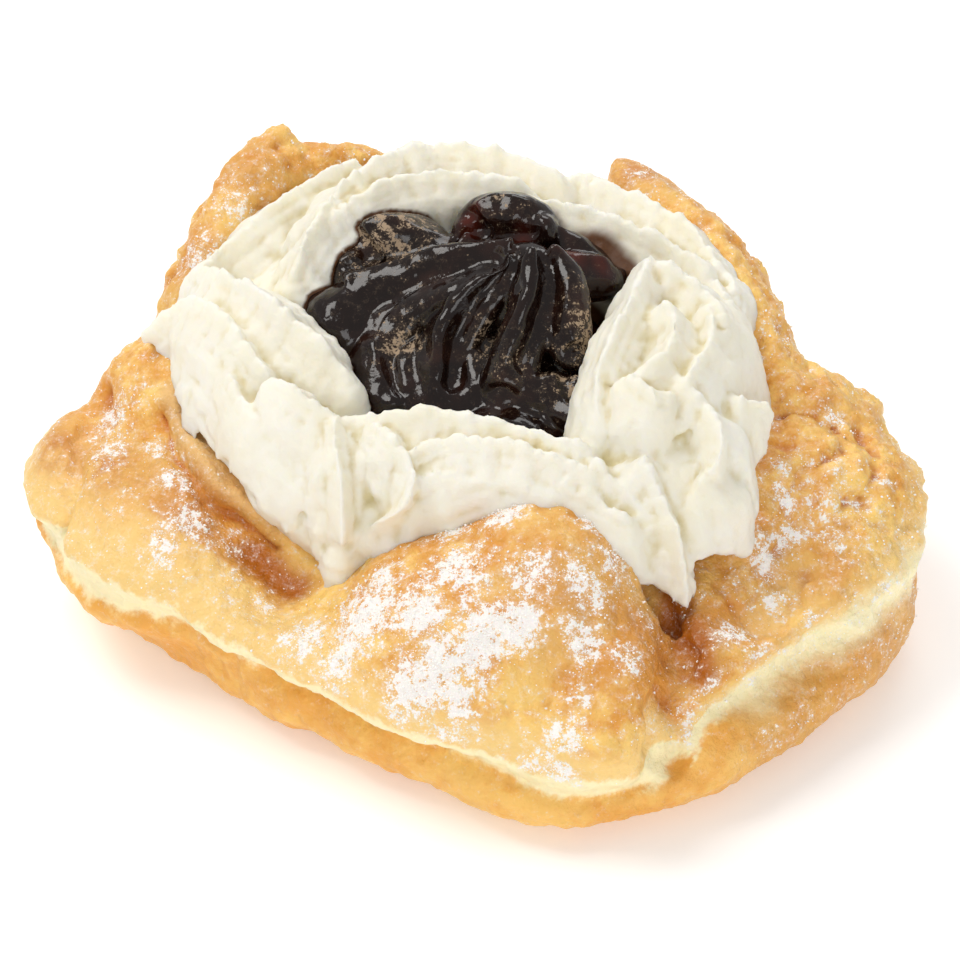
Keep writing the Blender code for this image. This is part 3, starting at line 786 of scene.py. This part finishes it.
# crests, laid out as the cream's are
jamCrests = [
    ((165, 163, 174), (2, 14, 27.5), (49.5, 44.5, 39), (2.5, 4.8, 8)),
    ((184, 184, 220), (3, 17, 21.5), (48, 40, 34), (2.5, 4, 4)),
    ((215, 207, 236), (2.5, 10, 17), (48.5, 42, 35.5), (2.5, 3.5, 4)),
    ((290, 266, 258), (2, 9, 16), (50, 43.5, 36.5), (2.5, 3.2, 4)),
    ((0, -48, -60), (3.5, 8, 13), (49, 45, 40), (3, 3.2, 3)),
    ((18, 18, 21), (4, 9, 14), (47, 44.5, 41), (3, 3.5, 1.5)),
    ((-101, -82, -64), (15, 14, 15.5), (36.5, 38, 38), (3, 3.5, 3.5)),
    ((-78, -74, -69), (15, 18, 21.5), (37, 36.5, 36), (3, 2.2, 0.6)),
    # lumps behind the peak
    ((164, 150, 151), (24.5, 20.5, 11.5), (42, 45.5, 45.5), (5.5, 7, 5)),
    ((133, 106, 70), (12, 11, 7), (46, 49, 48), (3.5, 4.5, 4)),
    ((60, 35, 22), (9, 10, 13), (46, 44, 41), (2, 2.5, 1.5)),
]
# hollows between the piped ridges, and the edges that stand up beside them
jamHollows = [
    [(1.5, 7.3, 47.1), (-3.2, 7.8, 44.8), (-7.8, 7.9, 42.5), (-11.7, 6.8, 40.4), (-13.6, 4.2, 38.3)],
    [(3.2, 5, 46.9), (-0.6, 2.9, 43.4), (-3, 0.1, 39), (-3.8, -4.2, 35.8)],
    [(8.3, 5.2, 47.7), (8.7, 1.5, 45.2), (7.4, -1.9, 42.2), (5.7, -5.1, 39.5)],
    [(-17.7, 14.2, 41), (-13.1, 14.3, 42.8), (-6.5, 14.2, 44.3), (-1.3, 15.7, 44.6)],
    [(0, 15.9, 44.8), (3.9, 14.3, 45.7), (6.5, 13.9, 45.9)],
]
jamEdges = [
    [(-0.5, 5, 45), (-6, 5, 42), (-9.8, 3.6, 39.7), (-10.6, -0.5, 36.5), (-9.5, -5, 34)],
    [(3.5, 3.5, 44), (1.2, 2, 41), (-1, -0.5, 38.2), (-0.3, -4.7, 35.5)],
    [(6.9, 5, 49), (6.5, 1.1, 46.4), (4.1, -1.8, 43), (2.8, -4.5, 40.1)],
    [(-3.6, 5.3, 42.8), (-5.5, 1.2, 39.8), (-5.6, -4.7, 35.5)],
]

# azimuth, distance, reach and strength of dust on the jam, and of fruit that lets light through
dustPatches = [
    (318, 12, 4.5, 0.75), (290, 15, 4, 0.75), (200, 17, 3.2, 0.7), (235, 9, 2.8, 0.6), (150, 21, 7, 0.7),
    (100, 11, 4, 0.4), (262, 13, 3, 0.35),
]
redPatches = [(128, 12, 1.3, 0.8), (95, 6, 1.2, 0.7), (20, 6, 2.0, 0.7), (12, 10, 1.5, 0.5)]


def makeJam(pastry, cream):
    axis = jamLook["axis"]
    bodies = [puff(*lump, axis=axis) for lump in jamCore] + ridgesFrom(jamCrests, 1, 0.5, axis)
    jam = fuse("jamRosette", bodies, jamLook["voxel"], jamLook["smoothing"])
    for path in jamHollows:
        fold(jam, jamLook["hollowDepth"], jamLook["hollowWidth"], path)
    for path in jamEdges:
        fold(jam, -jamLook["edgeHeight"], jamLook["edgeWidth"], path)
    relief(jam, "CLOUDS", size=4, height=0.8, noise_depth=1)
    relief(jam, "CLOUDS", size=1.5, height=0.12, noise_depth=2)
    clearOf(jam, pastry)
    clearOf(jam, cream)
    jam = keepLargest(jam)
    points = pointsOf(jam)
    uneven = np.clip(0.75 + 0.9 * noiseOver(points, 2.2, seed=9), 0, 1)
    storeMask(jam, "dust", patchField(points, dustPatches, axis) * uneven)
    storeMask(jam, "red", patchField(points, redPatches, axis))
    bpy.ops.object.shade_smooth()
    return jam


def stainCream(cream, jam, stride=6):
    # brown film of jam that has crept into the cream behind the rosette, and a thin line round the rest
    tree = kdtree.KDTree(len(jam.data.vertices) // stride + 1)
    for index, point in enumerate(pointsOf(jam)[::stride]):
        tree.insert(point, index)
    tree.balance()
    points = pointsOf(cream)
    away = np.array([tree.find(point)[2] for point in points]) / mm
    turn = (azimuthsOf(points, jamLook["axis"]) - jamLook["filmAzimuth"]) / jamLook["filmSpread"]
    reach = jamLook["stainReach"] + jamLook["filmReach"] * np.exp(-(turn ** 2))
    storeMask(cream, "stain", np.exp(-((away / reach) ** 2)))


# sugar that stands off the skin

sugarLook = {
    "grains": 20000,
    "seed": 7,
    # radius of a grain in millimetres
    "smallest": 0.045,
    "spread": 0.035,
    "largest": 0.2,
    "scatter": 0.3,
    # share of its radius that a grain's middle stands off the skin
    "standOff": 0.3,
    "unevenness": 0.3,
    # how strongly the grains keep to the thickest patches
    "clumping": 2.2,
}


def makeSugarGrains(pastry):
    # each grain is a small uneven eight-sided crystal
    dice = np.random.default_rng(sugarLook["seed"])
    cover = maskOf(pastry, "sugar")
    weights = np.clip(cover, 0, 1) ** sugarLook["clumping"]
    chosen = dice.choice(len(cover), sugarLook["grains"], p=weights / weights.sum())
    bpy.ops.mesh.primitive_ico_sphere_add(subdivisions=1, radius=1)
    startEditing()
    bpy.ops.mesh.decimate(ratio=0.4)
    stopEditing()
    model = bpy.context.object
    corners = pointsOf(model)
    faces = np.array([face.vertices[:] for face in model.data.polygons])
    bpy.data.objects.remove(model)
    sizes = sugarLook["smallest"] + dice.exponential(sugarLook["spread"], len(chosen))
    sizes = np.minimum(sugarLook["largest"], sizes) * mm
    scatter = sugarLook["scatter"]
    places = pointsOf(pastry)[chosen] + dice.uniform(-scatter, scatter, (len(chosen), 3)) * mm
    places += normalsOf(pastry)[chosen] * sizes[:, None] * sugarLook["standOff"]
    shapes = corners * (1 + sugarLook["unevenness"] * dice.standard_normal((len(chosen), *corners.shape)))
    points = places[:, None] + shapes * sizes[:, None, None]
    mesh = bpy.data.meshes.new("sugarGrains")
    allFaces = faces + np.arange(len(chosen))[:, None, None] * len(corners)
    mesh.from_pydata(points.reshape(-1, 3).tolist(), [], allFaces.reshape(-1, faces.shape[1]).tolist())
    grains = bpy.data.objects.new("sugarGrains", mesh)
    bpy.context.scene.collection.objects.link(grains)
    pick(grains)
    bpy.ops.object.shade_smooth()
    return grains


# materials

# linear red, green and blue
colours = {
    "crust": (0.74, 0.32, 0.045),
    "paleCrust": (0.96, 0.63, 0.18),
    # painted shade in the valleys of the crust
    "crustValleyShade": (0.60, 0.19, 0.025),
    "blister": (0.94, 0.62, 0.18),
    "bakedCrust": (0.60, 0.235, 0.045),
    "foot": (0.84, 0.40, 0.070),
    "paleFoot": (0.93, 0.55, 0.14),
    # painted shade on the right side of the foot
    "shadedRightFoot": (0.58, 0.25, 0.045),
    "belt": (1.0, 0.87, 0.53),
    "rightBelt": (1.0, 0.88, 0.54),
    "overBelt": (0.93, 0.63, 0.23),
    "tornDough": (0.80, 0.50, 0.20),
    # painted shade in the creases and hollows
    "creaseShade": (0.42, 0.12, 0.006),
    "siftedSugar": (0.97, 0.93, 0.89),
    "grain": (0.95, 0.92, 0.88),
    "paleGrain": (0.99, 0.97, 0.94),
    "cream": (0.86, 0.82, 0.69),
    "paleCream": (0.88, 0.85, 0.75),
    # painted shade in the cream's valleys
    "creamValleyShade": (0.72, 0.63, 0.36),
    "jamFilm": (0.11, 0.038, 0.008),
    "jam": (0.008, 0.003, 0.002),
    "brownJam": (0.022, 0.008, 0.005),
    "redJam": (0.10, 0.012, 0.004),
    "jamDust": (0.36, 0.26, 0.17),
}

siftLook = {
    # fineness and share of each layer of lace
    "layers": ((0.8, 0.6), (3.0, 0.4)),
    "detail": 3.0,
    "roughness": 0.65,
    # the lace shows over this level, which drops as the sugar lies thicker
    "level": 0.66,
    "drop": 0.27,
    "dropPower": 0.8,
    "speckRange": (-0.01, 0.05),
    "hazeRange": (-0.12, 0.04),
}


def addNode(tree, kind, inputs=None, **settings):
    node = tree.nodes.new(kind)
    for key, value in settings.items():
        setattr(node, key, value)
    for key, value in (inputs or {}).items():
        if isinstance(value, bpy.types.NodeSocket):
            tree.links.new(value, node.inputs[key])
        else:
            node.inputs[key].default_value = value
    return node


def blendColours(tree, share, first, second):
    # each colour is a socket or a name in the table of colours
    first, second = (c if isinstance(c, bpy.types.NodeSocket) else (*colours[c], 1) for c in (first, second))
    return addNode(tree, "ShaderNodeMix", {0: share, 6: first, 7: second}, data_type="RGBA").outputs[2]


def fit(tree, value, low, high, first=0, last=1):
    # eases from first to last while the value goes from low to high
    inputs = {0: value, 1: low, 2: high, 3: first, 4: last}
    return addNode(tree, "ShaderNodeMapRange", inputs, interpolation_type="SMOOTHSTEP").outputs[0]


def calculate(tree, operation, first, second):
    return addNode(tree, "ShaderNodeMath", {0: first, 1: second}, operation=operation).outputs[0]


def weightedSum(tree, *terms):
    total = 0
    for value, weight in terms:
        total = calculate(tree, "ADD", calculate(tree, "MULTIPLY", value, weight), total)
    return total


def readMask(tree, name):
    return addNode(tree, "ShaderNodeAttribute", attribute_name=name).outputs["Fac"]


def fractal(tree, place, size, detail=4, roughness=0.55):
    # cloudy noise with patches of about that size in millimetres
    inputs = {"Vector": place, "Scale": 1000 / size, "Detail": detail, "Roughness": roughness}
    return addNode(tree, "ShaderNodeTexNoise", inputs).outputs[0]


def newMaterial(name, settings):
    made = bpy.data.materials.new(name)
    made.use_nodes = True
    tree = made.node_tree
    shader = tree.nodes["Principled BSDF"]
    for key, value in settings.items():
        shader.inputs[key].default_value = value
    return made, tree, shader


def skinPlace(tree):
    return addNode(tree, "ShaderNodeTexCoord").outputs["Object"]


def addBump(tree, shader, height, strength, depth):
    bump = addNode(tree, "ShaderNodeBump", {"Height": height, "Strength": strength, "Distance": depth * mm})
    tree.links.new(bump.outputs[0], shader.inputs["Normal"])


def finish(piece, made, slot, *nodes):
    piece.data.materials.clear()
    piece.data.materials.append(made)
    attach(piece, "root")
    for node in nodes:
        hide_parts(node)


def makeSiftedGroup():
    # lacy cover of sifted sugar, from how thick it lies
    group = bpy.data.node_groups.new("siftedSugar", "ShaderNodeTree")
    group.interface.new_socket(name="Place", in_out="INPUT", socket_type="NodeSocketVector")
    for name in ("Cover", "Size", "Density"):
        group.interface.new_socket(name=name, in_out="INPUT", socket_type="NodeSocketFloat")
    for name in ("Mask", "Height"):
        group.interface.new_socket(name=name, in_out="OUTPUT", socket_type="NodeSocketFloat")
    start = addNode(group, "NodeGroupInput").outputs
    end = addNode(group, "NodeGroupOutput")
    layers = []
    for fineness, share in siftLook["layers"]:
        inputs = {
            "Vector": start["Place"], "Scale": calculate(group, "MULTIPLY", start["Size"], fineness),
            "Detail": siftLook["detail"], "Roughness": siftLook["roughness"]}
        layers.append((addNode(group, "ShaderNodeTexNoise", inputs).outputs[0], share))
    lace = weightedSum(group, *layers)
    thick = calculate(group, "POWER", start["Cover"], siftLook["dropPower"])
    level = calculate(group, "ADD", calculate(group, "MULTIPLY", thick, -siftLook["drop"]), siftLook["level"])
    over = calculate(group, "SUBTRACT", lace, level)
    specks = fit(group, over, *siftLook["speckRange"])
    haze = calculate(group, "MULTIPLY", fit(group, over, *siftLook["hazeRange"]), start["Density"])
    group.links.new(calculate(group, "MAXIMUM", haze, specks), end.inputs["Mask"])
    group.links.new(specks, end.inputs["Height"])
    return group


def sift(tree, group, place, cover, size, density):
    inputs = {"Place": place, "Cover": cover, "Size": 1000 / size, "Density": density}
    node = addNode(tree, "ShaderNodeGroup", inputs, node_tree=group)
    return node.outputs["Mask"], node.outputs["Height"]


def crustColour(tree, tone, mottle):
    # orange crust with painted shade, deeper orange, in its valleys, paler on its blisters, deeper where it
    # is baked
    valley = readMask(tree, "valley")
    crust = blendColours(tree, fit(tree, tone, 0.40, 0.60), "crust", "paleCrust")
    crust = blendColours(tree, fit(tree, valley, 0.05, 0.7), crust, "crustValleyShade")
    crust = blendColours(tree, fit(tree, valley, -0.1, -0.6, 0, 0.45), crust, "blister")
    baked = calculate(tree, "MULTIPLY", readMask(tree, "baked"), fit(tree, mottle, 0.38, 0.58, 0.5, 1.2))
    return blendColours(tree, baked, crust, "bakedCrust")


def footColour(tree, tone, rightSide):
    foot = blendColours(tree, fit(tree, tone, 0.4, 0.6), "foot", "paleFoot")
    # painted shade on the right side of the foot
    return blendColours(tree, calculate(tree, "MULTIPLY", rightSide, 0.45), foot, "shadedRightFoot")


def makeDoughMaterial(sifted):
    made, tree, shader = newMaterial("goldenDough", {
        "Subsurface Weight": 0.15, "Subsurface Radius": (1, 0.5, 0.2), "Subsurface Scale": 0.0015,
        "Specular IOR Level": 0.4})
    place = skinPlace(tree)
    mottle = fractal(tree, place, size=3.2, detail=6, roughness=0.65)
    tone = weightedSum(tree, (fractal(tree, place, size=14, detail=3), 0.5), (mottle, 0.5))
    # golden under the belt, pale in it, yellow just over it, with softer edges on the right side, where the
    # foot gets painted shade
    over = calculate(tree, "ADD", readMask(tree, "overBelt"), fit(tree, mottle, 0.3, 0.7, -0.35, 0.35))
    rightSide = readMask(tree, "rightSide")
    belt = blendColours(tree, rightSide, "belt", "rightBelt")
    beltStart = fit(tree, over, fit(tree, rightSide, 0, 1, -1.5, -2.8), fit(tree, rightSide, 0, 1, -0.7, 0.3))
    beltEnd = fit(tree, over, 0.8, fit(tree, rightSide, 0, 1, 1.3, 3))
    colour = blendColours(tree, beltStart, footColour(tree, tone, rightSide), belt)
    colour = blendColours(tree, beltEnd, colour, "overBelt")
    colour = blendColours(tree, fit(tree, over, 2, 5), colour, crustColour(tree, tone, mottle))
    colour = blendColours(tree, fit(tree, readMask(tree, "torn"), 0.1, 0.9, 0, 0.8), colour, "tornDough")
    # painted shade in the creases and hollows
    colour = blendColours(tree, fit(tree, readMask(tree, "shadeInCreases"), 0.1, 1), colour, "creaseShade")
    mask, height = sift(tree, sifted, place, readMask(tree, "sugar"), size=1.0, density=0.28)
    colour = blendColours(tree, mask, colour, "siftedSugar")
    tree.links.new(colour, shader.inputs["Base Color"])
    tree.links.new(fit(tree, mask, 0, 1, 0.38, 0.85), shader.inputs["Roughness"])
    pores = fractal(tree, place, size=0.8, detail=4, roughness=0.6)
    wrinkles = fractal(tree, place, size=2.6, detail=5, roughness=0.6)
    skin = weightedSum(tree, (pores, 0.5), (wrinkles, 2.2), (height, 0.05))
    addBump(tree, shader, skin, strength=0.8, depth=0.5)
    return made


def makeCreamMaterial():
    made, tree, shader = newMaterial("whippedCream", {
        "Subsurface Weight": 0.5, "Subsurface Radius": (1, 0.85, 0.55), "Subsurface Scale": 0.003,
        "Roughness": 0.5, "Specular IOR Level": 0.35})
    place = skinPlace(tree)
    broad = fractal(tree, place, size=9, detail=3)
    colour = blendColours(tree, fit(tree, broad, 0.35, 0.65), "cream", "paleCream")
    # painted shade in the cream's valleys
    colour = blendColours(tree, fit(tree, readMask(tree, "valley"), 0.0, 0.5), colour, "creamValleyShade")
    colour = blendColours(tree, fit(tree, readMask(tree, "stain"), 0.2, 0.8), colour, "jamFilm")
    tree.links.new(colour, shader.inputs["Base Color"])
    grain = fractal(tree, place, size=0.5, detail=5, roughness=0.7)
    waves = fractal(tree, place, size=3, detail=3)
    addBump(tree, shader, weightedSum(tree, (grain, 1), (waves, 1.5)), strength=0.35, depth=0.3)
    return made


def makeJamMaterial(sifted):
    made, tree, shader = newMaterial("darkJam", {"Specular IOR Level": 0.38})
    place = skinPlace(tree)
    broad = fractal(tree, place, size=5, detail=3)
    colour = blendColours(tree, fit(tree, broad, 0.45, 0.75), "jam", "brownJam")
    colour = blendColours(tree, readMask(tree, "red"), colour, "redJam")
    mask, height = sift(tree, sifted, place, readMask(tree, "dust"), size=0.8, density=0.1)
    colour = blendColours(tree, mask, colour, "jamDust")
    tree.links.new(colour, shader.inputs["Base Color"])
    tree.links.new(fit(tree, mask, 0, 1, 0.1, 0.8), shader.inputs["Roughness"])
    pulp = fractal(tree, place, size=2.5, detail=3)
    grit = fractal(tree, place, size=0.6, detail=3)
    addBump(tree, shader, weightedSum(tree, (pulp, 1), (grit, 0.2), (height, 0.1)), strength=0.2, depth=0.6)
    return made


def makeSugarMaterial():
    # the faint emission is painted light that lifts the shade among the grains
    made, tree, shader = newMaterial("powderedSugar", {
        "Roughness": 0.8, "Emission Color": (1, 0.96, 0.92, 1), "Emission Strength": 0.08})
    colour = blendColours(tree, fractal(tree, skinPlace(tree), size=1.5), "grain", "paleGrain")
    tree.links.new(colour, shader.inputs["Base Color"])
    return made


# floor, light and camera

# metres, watts and degrees, and the lens in millimetres
stageLook = {
    "floorSize": 6,
    "worldStrength": 0.5,
    # place, size, power and colour of each light
    "lights": {
        "keyLight": ((-0.36, 0.12, 0.62), 0.35, 2.55, (1, 0.98, 0.95)),
        "frontLight": ((0.2, -0.8, 0.45), 0.5, 2.5, (1, 1, 1)),
        "backLight": ((0.15, 0.6, 0.5), 0.4, 1.6, (1, 1, 1)),
    },
    "lightTarget": (0, 0, 0.02),
    "cameraDistance": 0.5,
    "cameraTilt": 40,
    "aimHeight": 0.0156,
    "lens": 141.4,
}


def makeFloor():
    bpy.ops.mesh.primitive_plane_add(size=stageLook["floorSize"], location=(0, 0, 0))
    floor = bpy.context.object
    floor.name = "paleFloor"
    floor.data.materials.append(newMaterial("palePaper", {
        "Base Color": (0.95, 0.95, 0.95, 1), "Roughness": 0.9, "Emission Color": (1, 1, 1, 1),
        "Emission Strength": 0.2})[0])


def makeLights():
    scene = bpy.context.scene
    scene.world = bpy.data.worlds.new("studio")
    scene.world.use_nodes = True
    background = scene.world.node_tree.nodes["Background"]
    background.inputs["Color"].default_value = (1, 1, 1, 1)
    background.inputs["Strength"].default_value = stageLook["worldStrength"]
    target = Vector(stageLook["lightTarget"])
    for name, (place, size, power, tint) in stageLook["lights"].items():
        bpy.ops.object.light_add(type="AREA", location=place)
        light = bpy.context.object
        light.name = name
        light.data.energy = power
        light.data.size = size
        light.data.color = tint
        light.rotation_euler = (target - Vector(place)).to_track_quat("-Z", "Y").to_euler()


def makeCamera():
    tilt = math.radians(stageLook["cameraTilt"])
    away = stageLook["cameraDistance"]
    bpy.ops.object.camera_add(
        location=(0, -away * math.cos(tilt), stageLook["aimHeight"] + away * math.sin(tilt)),
        rotation=(math.pi / 2 - tilt, 0, 0))
    camera = bpy.context.object
    camera.data.sensor_width = 36
    camera.data.lens = stageLook["lens"]
    camera.data.clip_start = 0.01
    bpy.context.scene.camera = camera


pastry = makePastry()
print("pastry", len(pastry.data.polygons))
cream = makeCream(pastry)
print("cream", len(cream.data.polygons))
jam = makeJam(pastry, cream)
stainCream(cream, jam)
print("jam", len(jam.data.polygons))
grains = makeSugarGrains(pastry)
print("sugar", len(grains.data.polygons))

sifted = makeSiftedGroup()
finish(pastry, makeDoughMaterial(sifted), "fried_dough", "pastry_star")
finish(cream, makeCreamMaterial(), "whipped_cream", "cream_wreath")
finish(jam, makeJamMaterial(sifted), "jam", "jam_rosette")
finish(grains, makeSugarMaterial(), "fried_dough")
print("materials done")

bpy.context.scene.view_settings.view_transform = "Standard"
makeFloor()
makeLights()
makeCamera()
